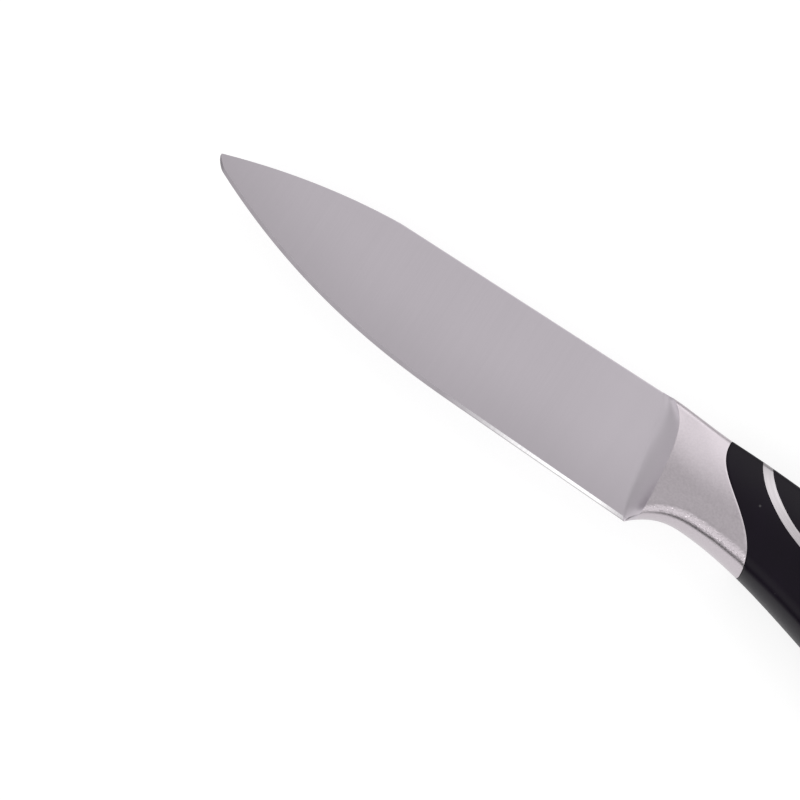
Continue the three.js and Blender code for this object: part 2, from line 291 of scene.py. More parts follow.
class Form:
    """Side-view lines and sections of this knife, from the scene's settings."""

    def __init__(self, scene):
        self.blade = scene.knife_blade
        self.bolster = scene.knife_bolster
        self.grip = scene.knife_grip
        self.bow = scene.knife_bow

    def spine(self, x):
        """Top line of blade, bolster, grip and cap."""
        b, g = self.blade, self.grip
        point = np.clip((-b.straight_spine - x) / (b.length - b.straight_spine), 0, 1)
        step = g.spine_step * smooth(x, -self.bolster.scoop_reach, g.choil_at)
        droop = g.droop * smooth(x, 0.5 * g.choil_at, g.length - g.droop_to_butt)
        return -b.point_drop * mix(point, point**2, b.point_bend) - step - droop

    def edge(self, x):
        """Cutting edge."""
        b = self.blade
        along = np.clip((-b.straight_edge - x) / (b.length - b.straight_edge), 0, 1)
        edge = -b.height - b.edge_slope * x + b.belly_rise * along**b.belly_bend
        turn = np.clip((b.length + x) / b.point_length, 0, 1)
        return mix(self.spine(x), edge, np.sqrt(1 - (1 - turn) ** 2))

    def height(self, x):
        """Height of bolster, grip and cap."""
        b, g = self.blade, self.grip
        neck_at = g.length - g.neck_to_butt
        finger = 1 - np.clip(x / g.choil_at, 0, 1)
        heel = b.height + self.spine(0) - g.choil_height
        swell = (g.swell_height - g.choil_height) * smooth(x, g.choil_at, g.swell_at)
        neck = (g.neck_height - g.swell_height) * smooth(x, g.swell_at, neck_at)
        butt = (g.butt_height - g.neck_height) * smooth(x, neck_at, g.length)
        return g.choil_height + heel * finger**g.choil_bend + swell + neck + butt

    def belly(self, x):
        """Bottom line of blade, bolster, grip and cap."""
        return np.where(x < 0, self.edge(x), self.spine(x) - self.height(x))

    def blade_half(self, x, y):
        """Half thickness of the flat-ground blade."""
        b = self.blade
        grind = (b.spine_thickness - b.edge_thickness) / 2 / b.height
        return b.edge_thickness / 2 + grind * (y - self.edge(x))

    def grip_half(self, x):
        """Half thickness of the flared grip."""
        g = self.grip
        left = 1 - np.clip(x / g.flare, 0, 1)
        return mix(g.thickness, g.collar, left**g.flare_bend) / 2

    # Cross lines of the side view: share is 0 on the belly and 1 on the spine

    def hook(self, share):
        return self.bolster.ridge_hook * share**self.bolster.hook_bend

    def scoop_start(self, share):
        b = self.bolster
        return -b.scoop_reach * share**b.scoop_start_bend - b.scoop_hook * self.hook(share)

    def ridge(self, share):
        b = self.bolster
        return b.ridge_setback - b.ridge_sweep * share**b.ridge_bend - self.hook(share)

    def joint(self, share):
        b = self.bolster
        swing = share**3 * (share * (6 * share - 15) + 10)
        return mix(b.joint_belly, b.joint_spine, swing) + b.joint_tail * (1 - share) ** b.hook_bend

    def cap_joint(self, share):
        g = self.grip
        return g.length - g.cap_length + g.cap_lean * smooth(share, 0, 1)

    def butt(self, share):
        return self.grip.length - self.grip.butt_rake * share**2

    def bow_half(self):
        """Half the length of the bow."""
        return (self.grip.length - self.bow.to_butt - self.bow.start) / 2

    def tang_axis(self, x):
        return self.spine(x) - self.blade.tang_depth

    def tang_end(self):
        g = self.grip
        return g.length - g.cap_length + g.cap_lean / 2 + self.blade.tang_in_cap

    def half_section(self, height, half):
        """Rise above the belly and distance from the middle plane, from belly to spine."""
        g = self.grip
        flat = half - g.corner_width
        crown = g.crown * flat
        low = crown + g.corner_height
        high = height - g.top_round - g.shoulder_height
        under = steps(UNDER_STEPS)[1:]
        turn = CORNER_TURN * (1 - steps(CORNER_STEPS)[1:])
        wide = (np.cos(turn) - math.cos(CORNER_TURN)) / (1 - math.cos(CORNER_TURN))
        side = steps(SIDE_STEPS)[1:]
        shoulder = steps(SHOULDER_STEPS)[1:]
        over = mix(TOP_TURN, math.pi / 2, steps(TOP_STEPS)[1:])
        lift = (np.sin(over) - math.sin(TOP_TURN)) / (1 - math.sin(TOP_TURN))
        rise = [
            crown * under**2,
            crown + g.corner_height * (1 - np.sin(turn) / math.sin(CORNER_TURN)),
            mix(low, high, side),
            high + g.shoulder_height * shoulder,
            height - g.top_round * (1 - lift),
        ]
        out = [
            flat * under,
            flat + g.corner_width * wide,
            np.full_like(side, half),
            half - g.shoulder_width * shoulder**2,
            half - g.shoulder_width - g.top_round * (math.cos(TOP_TURN) - np.cos(over)),
        ]
        return np.concatenate(rise), np.concatenate(out)

    def side_ring(self, place, inset=0.0, shape=None):
        """Points round one side on the cross line "place", drawn in by inset.

        A shape may change their distance from the middle plane.
        """
        middle = place(0.5)
        height = self.height(middle) - 2 * inset
        half = self.grip_half(middle) - inset
        rise, out = self.half_section(height, half)
        share = rise / height
        x = place(share)
        y = mix(self.belly(x) + inset, self.spine(x) - inset, share)
        z = out * (self.grip_half(x) - inset) / half
        if shape:
            z = shape(x, y, z, share)
        return np.stack([x, y, z], axis=1)


# Meshes


def closed_ring(side, mirror=-1):
    """Side points and their mirror twins; a mirror of 0 closes the ring on the middle plane."""
    return np.concatenate([side, (side * [1, 1, mirror])[::-1]])


def loft(name, rings, sharp=(), crease=PLAIN_CREASE):
    """Closed skin over a row of rings. Lines of points numbered in sharp stay crisp."""
    count = len(rings[0])
    index = np.arange(count)
    following = np.roll(index, -1)
    faces = []
    for row in range(len(rings) - 1):
        a, b = row * count + index, row * count + following
        faces += np.stack([a, a + count, b + count, b], axis=1).tolist()
    last = (len(rings) - 1) * count
    for i in range(count // 2 - 1):
        far = count - 1 - i
        faces.append([i, i + 1, far - 1, far])
        faces.append([last + i, last + far, last + far - 1, last + i + 1])
    mesh = bpy.data.meshes.new(name)
    mesh.from_pydata(np.concatenate(rings) + HEEL, [], faces)
    mesh.validate()
    finish_normals(mesh, crease)
    if sharp:
        lines = set(sharp) | {count - 1 - i for i in sharp}
        for line in mesh.edges:
            a, b = line.vertices
            if a % count == b % count and a % count in lines:
                line.use_edge_sharp = True
    piece = bpy.data.objects.new(name, mesh)
    bpy.context.collection.objects.link(piece)
    return piece


def finish_normals(mesh, crease):
    """Smooth shading with crisp edges past an angle in degrees."""
    mesh.shade_smooth()
    mesh.set_sharp_from_angle(angle=math.radians(crease))


def settle(piece):
    """Bakes the piece's modifiers into its mesh."""
    shown = piece.evaluated_get(bpy.context.evaluated_depsgraph_get())
    mesh = bpy.data.meshes.new_from_object(shown)
    worn_out = piece.data
    piece.modifiers.clear()
    piece.data = mesh
    mesh.name = piece.name
    bpy.data.meshes.remove(worn_out)


def carve(piece, tools, operation="DIFFERENCE"):
    """Cuts the piece by each tool, then removes the tools. The cuts get its first material."""
    for tool in tools:
        for material in piece.data.materials[:1]:
            tool.data.materials.append(material)
        cut = piece.modifiers.new(tool.name, "BOOLEAN")
        cut.object = tool
        cut.operation = operation
        cut.solver = "MANIFOLD"
        settle(piece)
        bpy.data.objects.remove(tool)
    return piece


def mirror_twin(piece, name):
    """Copy of a left-hand piece for the right-hand side."""
    twin = piece.copy()
    twin.data = piece.data.copy()
    twin.name = twin.data.name = name
    flip = Matrix.Scale(-1, 4, (0, 0, 1))
    twin.data.transform(Matrix.Translation((0, 0, 2 * HEEL[2])) @ flip)
    twin.data.flip_normals()
    bpy.context.collection.objects.link(twin)
    return twin


def dress(piece, node, slot, *materials):
    """Puts the piece in place of its CAD node with its finish."""
    piece.data.materials.clear()
    for material in materials:
        piece.data.materials.append(material)
    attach(piece, "root")
    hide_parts(node)


def blade_rings(form, grow=0.0, rim=0.0, end=0.0):
    """Rings of the ground blade from point to heel.

    A grow widens its faces, a rim its edge and spine.
    """
    b = form.blade
    face = steps(FACE_STEPS)
    rings = []
    for t in steps(BLADE_STEPS):
        x = mix(-b.length + b.point_flat, end, t**POINT_CROWDING)
        spine, edge = form.spine(x), form.edge(x)
        bevel = mix(edge, spine, b.bevel_height / (b.bevel_height + spine - edge))
        top = form.blade_half(x, spine)
        chamfer = b.chamfer * top / (b.spine_thickness / 2)
        up = mix(bevel, mix(spine, bevel, chamfer / b.height), face)
        y = np.concatenate([[edge - rim], up, [spine + rim]])
        z = np.concatenate([[b.keen_thickness / 2], form.blade_half(x, up), [top - chamfer]]) + grow
        rings.append(closed_ring(np.stack([np.full_like(y, x), y, z], axis=1)))
    return rings


def tang_rings(form, start, grow=0.0, points=TANG_POINTS):
    """Rings of the stick tang from heel to tail."""
    b = form.blade
    rings = []
    for t in steps(TANG_STEPS):
        x = mix(start, form.tang_end() + grow, t)
        half = mix(b.tang_height, b.tang_end_height, t) / 2 + grow
        y = form.tang_axis(x) + mix(-half, half, steps(points - 1))
        z = np.full(points, b.spine_thickness / 2 + grow)
        rings.append(closed_ring(np.stack([np.full(points, x), y, z], axis=1)))
    return rings


def tang_room(form):
    """Cutter that makes room for the tang."""
    return loft("tang_room", tang_rings(form, -TANG_LEAD, ROOM))


def grip_rings(form, inset=0.0, mirror=-1, overrun=0.0):
    """Rings of the grip from bolster to cap, with small rounded rims unless it overruns them."""
    g = form.grip
    front = lambda share: form.joint(share) + g.seam - overrun
    rear = lambda share: form.cap_joint(share) - g.seam + overrun
    rims = [] if overrun else rim_turns(g.seam_round)
    rings = [form.side_ring(lambda s: front(s) + along, inset + drawn) for along, drawn in rims]
    inner = g.seam_round if rims else 0.0
    for t in steps(GRIP_STEPS):
        place = lambda s: mix(front(s) + inner, rear(s) - inner, t)
        rings.append(form.side_ring(place, inset))
    rims = rims[::-1]
    rings += [form.side_ring(lambda s: rear(s) - along, inset + drawn) for along, drawn in rims]
    return [closed_ring(ring, mirror) for ring in rings]


def rim_turns(radius):
    """Distance along and draw-in of the rows that round a rim, from the rim inwards."""
    turns = steps(RIM_STEPS)[:-1] * math.pi / 2
    return [(radius * (1 - math.cos(turn)), radius * (1 - math.sin(turn))) for turn in turns]


def bow_band(form, grow, name):
    """Nearly elliptic band through the grip, drawn up past the spine at both ends."""
    w = form.bow
    long = form.bow_half()
    middle = w.start + long
    reach = form.grip.thickness
    turn = math.pi * (1 + steps(BOW_STEPS))
    from_end = np.minimum(turn - math.pi, 2 * math.pi - turn)
    pinch = w.pinch * smooth(from_end, *PINCH_RISE) * (1 - smooth(from_end, *PINCH_FALL))
    wide = w.width / 2 + grow + w.flare / 2 * (1 - smooth(from_end, *FLARE_FADE))

    def line(side):
        offset = side * wide - pinch
        x = middle + (long + offset) * np.cos(turn)
        y = -w.top + (w.drop + offset) * np.sin(turn)
        return np.concatenate([[[x[0], reach]], np.stack([x, y], axis=1), [[x[-1], reach]]])

    rings = []
    for outer, inner in zip(line(1), line(-1)):
        side = np.array([[*outer, reach], [*inner, reach]])
        rings.append(closed_ring(side))
    return loft(name, rings)


# Shader node groups

# Ranges of a noise that are spread over a full mask
FINE = (0.3, 0.7)
BROAD = (0.25, 0.75)

# Colour sockets of the Mix node
MIX_COLOUR_INPUTS = (0, 6, 7)
MIX_COLOUR_OUTPUT = 2


class Sheet:
    """Short hand for adding and joining nodes of one tree."""

    def __init__(self, tree):
        self.tree = tree

    def node(self, kind, **settings):
        made = self.tree.nodes.new(kind)
        for key, value in settings.items():
            setattr(made, key, value)
        return made

    def join(self, source, target):
        self.tree.links.new(source, target)

    def split(self, vector):
        """X, Y and Z of a vector."""
        made = self.node("ShaderNodeSeparateXYZ")
        self.join(vector, made.inputs[0])
        return made.outputs

    def facing(self):
        """How far the surface faces the spine, below 0 toward the belly."""
        return self.split(self.node("ShaderNodeNewGeometry").outputs["Normal"])["Y"]

    def feed(self, target, value):
        """Joins an output to an input, or sets the input's value."""
        if isinstance(value, bpy.types.NodeSocket):
            self.join(value, target)
        else:
            target.default_value = value

    def math(self, operation, *values):
        made = self.node("ShaderNodeMath", operation=operation)
        for target, value in zip(made.inputs, values):
            self.feed(target, value)
        return made.outputs[0]

    def span(self, value, low, high, out_low=0.0, out_high=1.0):
        """Maps a value from one range to another, held at both ends."""
        made = self.node("ShaderNodeMapRange", interpolation_type="SMOOTHSTEP")
        for target, given in zip(made.inputs, (value, low, high, out_low, out_high)):
            self.feed(target, given)
        return made.outputs["Result"]

    def blend(self, amount, first, second):
        """Mixes two colours."""
        made = self.node("ShaderNodeMix", data_type="RGBA")
        for place, given in zip(MIX_COLOUR_INPUTS, (amount, first, second)):
            self.feed(made.inputs[place], given)
        return made.outputs[MIX_COLOUR_OUTPUT]

    def shades(self, mask, colour_value, dark, light):
        """Colour between two gains, by a noise."""
        ends = (opaque(colour_value, gain) for gain in (dark, light))
        return self.blend(self.span(mask, *FINE), *ends)

    def noise(self, vector, scale, detail=3.0, roughness=0.55):
        made = self.node("ShaderNodeTexNoise")
        settings = {"Vector": vector, "Scale": scale, "Detail": detail, "Roughness": roughness}
        for name, given in settings.items():
            self.feed(made.inputs[name], given)
        return made.outputs[0]

    def stretch(self, vector, scale):
        made = self.node("ShaderNodeVectorMath", operation="MULTIPLY")
        self.feed(made.inputs[0], vector)
        self.feed(made.inputs[1], scale)
        return made.outputs[0]


def new_group(name, inputs, outputs):
    """Empty node group with named sockets; returns the sheet, its inputs and its outputs."""
    tree = bpy.data.node_groups.new(name, "ShaderNodeTree")
    for label, kind, value in inputs:
        socket = tree.interface.new_socket(label, in_out="INPUT", socket_type=kind)
        if value is not None:
            socket.default_value = value
    for label, kind in outputs:
        tree.interface.new_socket(label, in_out="OUTPUT", socket_type=kind)
    sheet = Sheet(tree)
    return sheet, sheet.node("NodeGroupInput").outputs, sheet.node("NodeGroupOutput").inputs


def brushed_lines_group():
    """Fine lines that run along Y and change quickly along X."""
    sheet, given, put = new_group(
        "Brushed lines",
        [
            ("Vector", "NodeSocketVector", None),
            ("Lines", "NodeSocketFloat", 6000.0),
            ("Run", "NodeSocketFloat", 60.0),
        ],
        [("Fine", "NodeSocketFloat"), ("Broad", "NodeSocketFloat")],
    )
    scale = sheet.node("ShaderNodeCombineXYZ")
    sheet.join(given["Lines"], scale.inputs["X"])
    sheet.join(given["Run"], scale.inputs["Y"])
    sheet.join(given["Run"], scale.inputs["Z"])
    along = sheet.stretch(given["Vector"], scale.outputs[0])
    fine = sheet.noise(along, 1.0, 4.0, 0.6)
    broad = sheet.noise(along, 0.11, 2.0, 0.5)
    sheet.join(fine, put["Fine"])
    sheet.join(broad, put["Broad"])
    return sheet.tree


def cast_skin_group():
    """Fine irregular skin of a polished casting: grains and shallow waves."""
    sheet, given, put = new_group(
        "Cast skin",
        [
            ("Vector", "NodeSocketVector", None),
            ("Grain", "NodeSocketFloat", 4000.0),
            ("Wave", "NodeSocketFloat", 350.0),
        ],
        [("Grains", "NodeSocketFloat"), ("Waves", "NodeSocketFloat")],
    )
    sheet.join(sheet.noise(given["Vector"], given["Grain"], 3.0, 0.6), put["Grains"])
    sheet.join(sheet.noise(given["Vector"], given["Wave"], 2.0, 0.5), put["Waves"])
    return sheet.tree


def handling_group():
    """Soft cloudy marks left by hands and polishing cloths."""
    sheet, given, put = new_group(
        "Handling marks",
        [("Vector", "NodeSocketVector", None), ("Scale", "NodeSocketFloat", 45.0)],
        [("Cloud", "NodeSocketFloat")],
    )
    cloud = sheet.noise(given["Vector"], given["Scale"], 4.0, 0.6)
    sheet.join(sheet.span(cloud, *FINE), put["Cloud"])
    return sheet.tree


def dust_and_glint_group():
    """Sparse specks: a few of many small cells hold one."""
    sheet, given, put = new_group(
        "Dust and glint specks",
        [
            ("Vector", "NodeSocketVector", None),
            ("Cells", "NodeSocketFloat", 900.0),
            ("Share", "NodeSocketFloat", 0.06),
            ("Radius", "NodeSocketFloat", 0.16),
        ],
        [("Mask", "NodeSocketFloat")],
    )
    cells = sheet.node("ShaderNodeTexVoronoi")
    sheet.join(given["Vector"], cells.inputs["Vector"])
    sheet.join(given["Cells"], cells.inputs["Scale"])
    luck = sheet.node("ShaderNodeSeparateColor")
    sheet.join(cells.outputs["Color"], luck.inputs[0])
    chosen = sheet.math("LESS_THAN", luck.outputs[0], given["Share"])
    radius = sheet.math("MULTIPLY", given["Radius"], luck.outputs[1])
    spot = sheet.math("LESS_THAN", cells.outputs["Distance"], radius)
    sheet.join(sheet.math("MULTIPLY", chosen, spot), put["Mask"])
    return sheet.tree


def worn_edge_group():
    """Mask of outer edges, where handling rubs."""
    sheet, given, put = new_group(
        "Worn edges",
        [("Low", "NodeSocketFloat", 0.53), ("High", "NodeSocketFloat", 0.62)],
        [("Mask", "NodeSocketFloat")],
    )
    shape = sheet.node("ShaderNodeNewGeometry")
    sheet.join(sheet.span(shape.outputs["Pointiness"], given["Low"], given["High"]), put["Mask"])
    return sheet.tree


GROUP_MAKERS = {
    "Brushed lines": brushed_lines_group,
    "Cast skin": cast_skin_group,
    "Handling marks": handling_group,
    "Dust and glint specks": dust_and_glint_group,
    "Worn edges": worn_edge_group,
}


def place_group(sheet, name, **values):
    """Places a shared group in a material, making it on first use."""
    tree = bpy.data.node_groups.get(name) or GROUP_MAKERS[name]()
    made = sheet.node("ShaderNodeGroup", node_tree=tree)
    for label, value in values.items():
        sheet.feed(made.inputs[label], value)
    return made.outputs


# Materials


def new_material(name, metallic, **sockets):
    """New material; returns it, its sheet, its shader and the object's coordinates."""
    material = bpy.data.materials.new(name)
    material.use_nodes = True
    sheet = Sheet(material.node_tree)
    shader = material.node_tree.nodes["Principled BSDF"]
    shader.inputs["Metallic"].default_value = metallic
    for label, value in sockets.items():
        shader.inputs[label.replace("_", " ")].default_value = value
    place = sheet.node("ShaderNodeTexCoord").outputs["Object"]
    return material, sheet, shader, place


def opaque(colour_value, gain=1.0):
    """Linear colour with alpha, scaled by a gain."""
    return (*(min(1.0, part * gain) for part in colour_value), 1.0)


def bump(sheet, shader, height, distance, strength=1.0):
    """Feeds a height into the shader's normal."""
    made = sheet.node("ShaderNodeBump")
    made.inputs["Strength"].default_value = strength
    made.inputs["Distance"].default_value = distance
    sheet.join(height, made.inputs["Height"])
    sheet.join(made.outputs[0], shader.inputs["Normal"])


# Places along the blade from the heel, between which painted light and shade change
ROOT_SHEEN = (-0.022, -0.008)
POINT_SHADE = (-0.03, -0.088)
BEVEL_HIGHLIGHT = (-0.038, -0.013)
BEVEL_HIGHLIGHT_END = (0.0, -0.007)

# Heights above the cutting edge, where painted shade on the blade and the bevel's keen line start
# and end
EDGE_SHADE = (0.0125, -0.0035)
KEEN_LINE = (0.00004, 0.0002)

# Facing of the bolster's lower corner, where its band of coarse grain and painted glints starts and
# ends
CORNER_START = (-0.06, -0.25)
CORNER_END = (-0.7, -0.4)
CORNER_GRAIN = 16.0
SIDE_GRAIN = 0.25

# Facing of the grip's spine, where a sheen is painted, and heights on the bow between which it is
# darker
SPINE_SHEEN_FACING = (0.06, 0.3)
BOW_DARKENING = (-0.0065, -0.0005)


def blade_place(sheet, place, blade):
    """Place along the blade from the heel, and height above its cutting edge."""
    parts = sheet.split(place)
    x = sheet.math("SUBTRACT", parts["X"], HEEL[0])
    y = sheet.math("SUBTRACT", parts["Y"], HEEL[1] - blade.height)
    front = blade.length - blade.straight_edge
    share = sheet.math("DIVIDE", sheet.math("SUBTRACT", -blade.straight_edge, x), front)
    belly = sheet.math("POWER", sheet.math("MAXIMUM", share, 0.0), blade.belly_bend)
    belly = sheet.math("MULTIPLY", belly, blade.belly_rise)
    return x, sheet.math("SUBTRACT", sheet.math("MULTIPLY_ADD", x, blade.edge_slope, y), belly)


def blade_satin(colours, blade):
    """Satin blade: fine grind lines from spine to edge, faint clouds, a painted sheen toward the
    heel, painted shade toward the edge and point.
    """
    material, sheet, shader, place = new_material("blade_satin", 1.0)
    lines = place_group(sheet, "Brushed lines", Vector=place, Lines=7000.0, Run=70.0)
    cloud = place_group(sheet, "Handling marks", Vector=place, Scale=55.0)["Cloud"]
    tone = sheet.shades(lines["Fine"], colours.blade, 0.985, 1.015)
    tone = sheet.blend(sheet.math("MULTIPLY", cloud, 0.08), tone, opaque(colours.blade, 0.85))
    along, rise = blade_place(sheet, place, blade)
    # Painted sheen: the blade is lighter toward its heel
    tone = sheet.blend(sheet.span(along, *ROOT_SHEEN), tone, opaque(colours.blade, 1.04))
    # Painted shade: the blade darkens toward its cutting edge and its point
    ground = sheet.span(rise, *EDGE_SHADE, 0.0, 0.64)
    darkening = sheet.math("ADD", ground, sheet.span(along, *POINT_SHADE, 0.0, 0.12))
    sheet.join(sheet.blend(darkening, tone, opaque(colours.blade, 0.78)), shader.inputs["Base Color"])
    rough = sheet.span(lines["Broad"], *BROAD, 0.345, 0.36)
    rough = sheet.math("ADD", rough, sheet.math("MULTIPLY", cloud, 0.02))
    sheet.join(rough, shader.inputs["Roughness"])
    bump(sheet, shader, lines["Fine"], 0.000001, 0.4)
    return material


def blade_bevel(colours, blade):
    """Cutting bevel: a painted highlight behind, a painted dark line of shade at the keen edge,
    painted grey shade toward the point.
    """
    material, sheet, shader, place = new_material("blade_bevel", 1.0)
    lines = place_group(sheet, "Brushed lines", Vector=place, Lines=4200.0, Run=300.0)
    tone = sheet.shades(lines["Fine"], colours.bevel, 0.88, 1.06)
    along, rise = blade_place(sheet, place, blade)
    # Painted shade: a dark line along the keen edge
    tone = sheet.blend(sheet.span(rise, *KEEN_LINE), opaque(colours.bevel, 0.45), tone)
    # Painted highlight: bright behind, fading to painted grey shade toward the point and partly at
    # the heel's end
    bevel_highlight = sheet.span(along, *BEVEL_HIGHLIGHT)
    bevel_highlight = sheet.math("MULTIPLY", bevel_highlight, sheet.span(along, *BEVEL_HIGHLIGHT_END, 0.35, 1.0))
    sheet.join(sheet.blend(bevel_highlight, opaque(colours.blade, 0.43), tone), shader.inputs["Base Color"])
    sheet.join(sheet.span(lines["Broad"], *BROAD, 0.2, 0.3), shader.inputs["Roughness"])
    bump(sheet, shader, lines["Fine"], 0.000004, 0.6)
    return material


def bolster_satin(colours):
    """Satin casting: fine grain, coarse round the lower corner with painted glints there, brighter
    edges.
    """
    material, sheet, shader, place = new_material("bolster_satin", 1.0)
    skin = place_group(sheet, "Cast skin", Vector=place, Grain=2800.0, Wave=420.0)
    cloud = place_group(sheet, "Handling marks", Vector=place, Scale=120.0)["Cloud"]
    worn = place_group(sheet, "Worn edges")["Mask"]
    facing = sheet.facing()
    band = sheet.span(facing, *CORNER_START)
    band = sheet.math("MULTIPLY", band, sheet.span(facing, *CORNER_END))
    # Painted glints: bright specks in the base colour along the lower corner
    glints = place_group(sheet, "Dust and glint specks", Vector=place, Cells=2400.0, Share=0.5, Radius=0.3)
    glints = sheet.math("MULTIPLY", glints["Mask"], band)
    tone = sheet.shades(skin["Grains"], colours.bolster, 0.95, 1.05)
    tone = sheet.blend(sheet.math("MULTIPLY", worn, 0.15), tone, opaque(colours.bolster, 1.25))
    sheet.join(sheet.blend(glints, tone, opaque(colours.bolster, 1.7)), shader.inputs["Base Color"])
    rough = sheet.span(skin["Grains"], *BROAD, 0.28, 0.34)
    rough = sheet.math("ADD", rough, sheet.math("MULTIPLY", cloud, 0.03))
    sheet.join(rough, shader.inputs["Roughness"])
    coarse = sheet.math("MULTIPLY_ADD", band, CORNER_GRAIN, SIDE_GRAIN)
    height = sheet.math("ADD", sheet.math("MULTIPLY", skin["Grains"], coarse), skin["Waves"])
    bump(sheet, shader, height, 0.000012, 0.6)
    return material


def bow_brushed(colours, form):
    """Bright strip, brushed along the bow, darker where it meets the spine."""
    material, sheet, shader, place = new_material("bow_brushed", 1.0)
    w = form.bow
    long = form.bow_half()
    parts = sheet.split(place)
    across = sheet.math("SUBTRACT", parts["X"], HEEL[0] + w.start + long)
    across = sheet.math("MULTIPLY", across, w.drop / long)
    down = sheet.math("SUBTRACT", parts["Y"], HEEL[1] - w.top)
    squares = [sheet.math("POWER", part, 2.0) for part in (across, down)]
    turn = sheet.math("ARCTAN2", down, across)
    run = sheet.node("ShaderNodeCombineXYZ")
    sheet.join(sheet.math("SQRT", sheet.math("ADD", *squares)), run.inputs["X"])
    sheet.join(sheet.math("MULTIPLY", turn, w.drop), run.inputs["Y"])
    lines = place_group(sheet, "Brushed lines", Vector=run.outputs[0], Lines=5200.0, Run=90.0)
    tone = sheet.shades(lines["Fine"], colours.bow, 0.94, 1.2)
    low, high = BOW_DARKENING
    # Darker toward the ends where the bow meets the spine
    darkening = sheet.span(parts["Y"], HEEL[1] + low, HEEL[1] + high)
    sheet.join(sheet.blend(darkening, tone, opaque(colours.bow, 0.64)), shader.inputs["Base Color"])
    sheet.join(sheet.span(lines["Broad"], *BROAD, 0.26, 0.34), shader.inputs["Roughness"])
    bump(sheet, shader, lines["Fine"], 0.000005, 0.6)
    return material


def grip_black(colours):
    """Black satin moulding: fine spark texture, a painted sheen along the spine, a few specks of
    dust.
    """
    material, sheet, shader, place = new_material("grip_black", 0.0, Specular_IOR_Level=0.17)
    skin = place_group(sheet, "Cast skin", Vector=place, Grain=5200.0, Wave=600.0)
    cloud = place_group(sheet, "Handling marks", Vector=place, Scale=70.0)["Cloud"]
    dust = place_group(sheet, "Dust and glint specks", Vector=place, Cells=420.0, Share=0.06, Radius=0.09)
    worn = place_group(sheet, "Worn edges")["Mask"]
    tone = sheet.blend(cloud, opaque(colours.grip, 0.8), opaque(colours.grip, 1.25))
    tone = sheet.blend(sheet.math("MULTIPLY", worn, 0.4), tone, opaque(colours.grip, 3.0))
    # Painted sheen: faces that turn toward the spine get the lighter black
    tone = sheet.blend(sheet.span(sheet.facing(), *SPINE_SHEEN_FACING), tone, opaque(colours.spine_sheen))
    tone = sheet.blend(dust["Mask"], tone, opaque(colours.dust))
    sheet.join(tone, shader.inputs["Base Color"])
    rough = sheet.span(skin["Grains"], *BROAD, 0.34, 0.4)
    rough = sheet.math("ADD", rough, sheet.math("MULTIPLY", cloud, 0.05))
    sheet.join(rough, shader.inputs["Roughness"])
    bump(sheet, shader, skin["Grains"], 0.000006, 0.5)
    return material


def pin_drawn(colours):
    """Plain drawn steel with lines along the pin."""
    material, sheet, shader, place = new_material("pin_drawn", 1.0)
    lines = place_group(sheet, "Brushed lines", Vector=place, Lines=3000.0, Run=200.0)
    tone = sheet.shades(lines["Fine"], colours.pin, 0.85, 1.1)
    sheet.join(tone, shader.inputs["Base Color"])
    sheet.join(sheet.span(lines["Broad"], *BROAD, 0.38, 0.5), shader.inputs["Roughness"])
    bump(sheet, shader, lines["Fine"], 0.000005, 0.5)
    return material


def shared_material(name, maker, *given):
    """Material by name, made on first use."""
    return bpy.data.materials.get(name) or maker(*given)


# Operators, one for each piece or pair


class KNIFE_OT_blade(bpy.types.Operator):
    """Builds the ground blade with its cutting bevel and hidden tang"""

    bl_idname = "knife.blade"
    bl_label = "Blade and Tang"

    def execute(self, context):
        form = Form(context.scene)
        rings = blade_rings(form)
        points = len(rings[0]) // 2
        tang = tang_rings(form, 0.0, points=points)
        piece = loft("blade_ground", rings + tang, sharp=(0, 1, points - 2, points - 1))
        colours = context.scene.knife_colours
        satin = shared_material("blade_satin", blade_satin, colours, form.blade)
        dress(piece, "blade", "blade_steel", satin, blade_bevel(colours, form.blade))
        count = 2 * points
        for face in piece.data.polygons:
            lines = {corner % count for corner in face.vertices}
            on_blade = max(face.vertices) < len(rings) * count
            if on_blade and lines <= {0, 1, count - 1, count - 2}:
                face.material_index = 1
        carve(piece, pin_cutters())
        finish_normals(piece.data, BLADE_CREASE)
        return {"FINISHED"}


def pin_cutters():
    """Round holes for the hidden pins, in the places of their nodes."""
    cutters = []
    turn = -2 * math.pi * steps(PIN_POINTS)[:-1]
    for node in PIN_NODES:
        low, high = (np.array(corner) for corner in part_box(node))
        middle, reach = (low + high) / 2, (high - low) / 2
        radius = reach[0] + ROOM
        x, y = middle[0] + radius * np.cos(turn), middle[1] + radius * np.sin(turn)
        ends = (middle[2] - reach[2] - ROOM, middle[2] + reach[2] + ROOM)
        rings = [np.stack([x, y, np.full(PIN_POINTS, z)], axis=1) - HEEL for z in ends]
        cutters.append(loft(node + "_hole", rings))
    return cutters


class KNIFE_OT_bolster(bpy.types.Operator):
    """Builds the bolster: scooped cheeks, crisp ridge, S-shaped joint"""

    bl_idname = "knife.bolster"
    bl_label = "Bolster"

    def execute(self, context):
        form = Form(context.scene)
        rings = bolster_rings(form)
        piece = loft("bolster_cast", rings, crease=CARVED_CREASE)
        colours = context.scene.knife_colours
        cast = shared_material("bolster_satin", bolster_satin, colours)
        satin = shared_material("blade_satin", blade_satin, colours, form.blade)
        dress(piece, "bolster", "bolster_steel", cast, satin)
        for face in piece.data.polygons[: SCOOP_STEPS * len(rings[0])]:
            face.material_index = 1
        seam = form.bolster.feather / 3
        slot = loft("blade_slot", blade_rings(form, grow=seam, rim=SLOT_RIM, end=seam))
        carve(piece, [slot, tang_room(form)])
        finish_normals(piece.data, CARVED_CREASE)
        return {"FINISHED"}


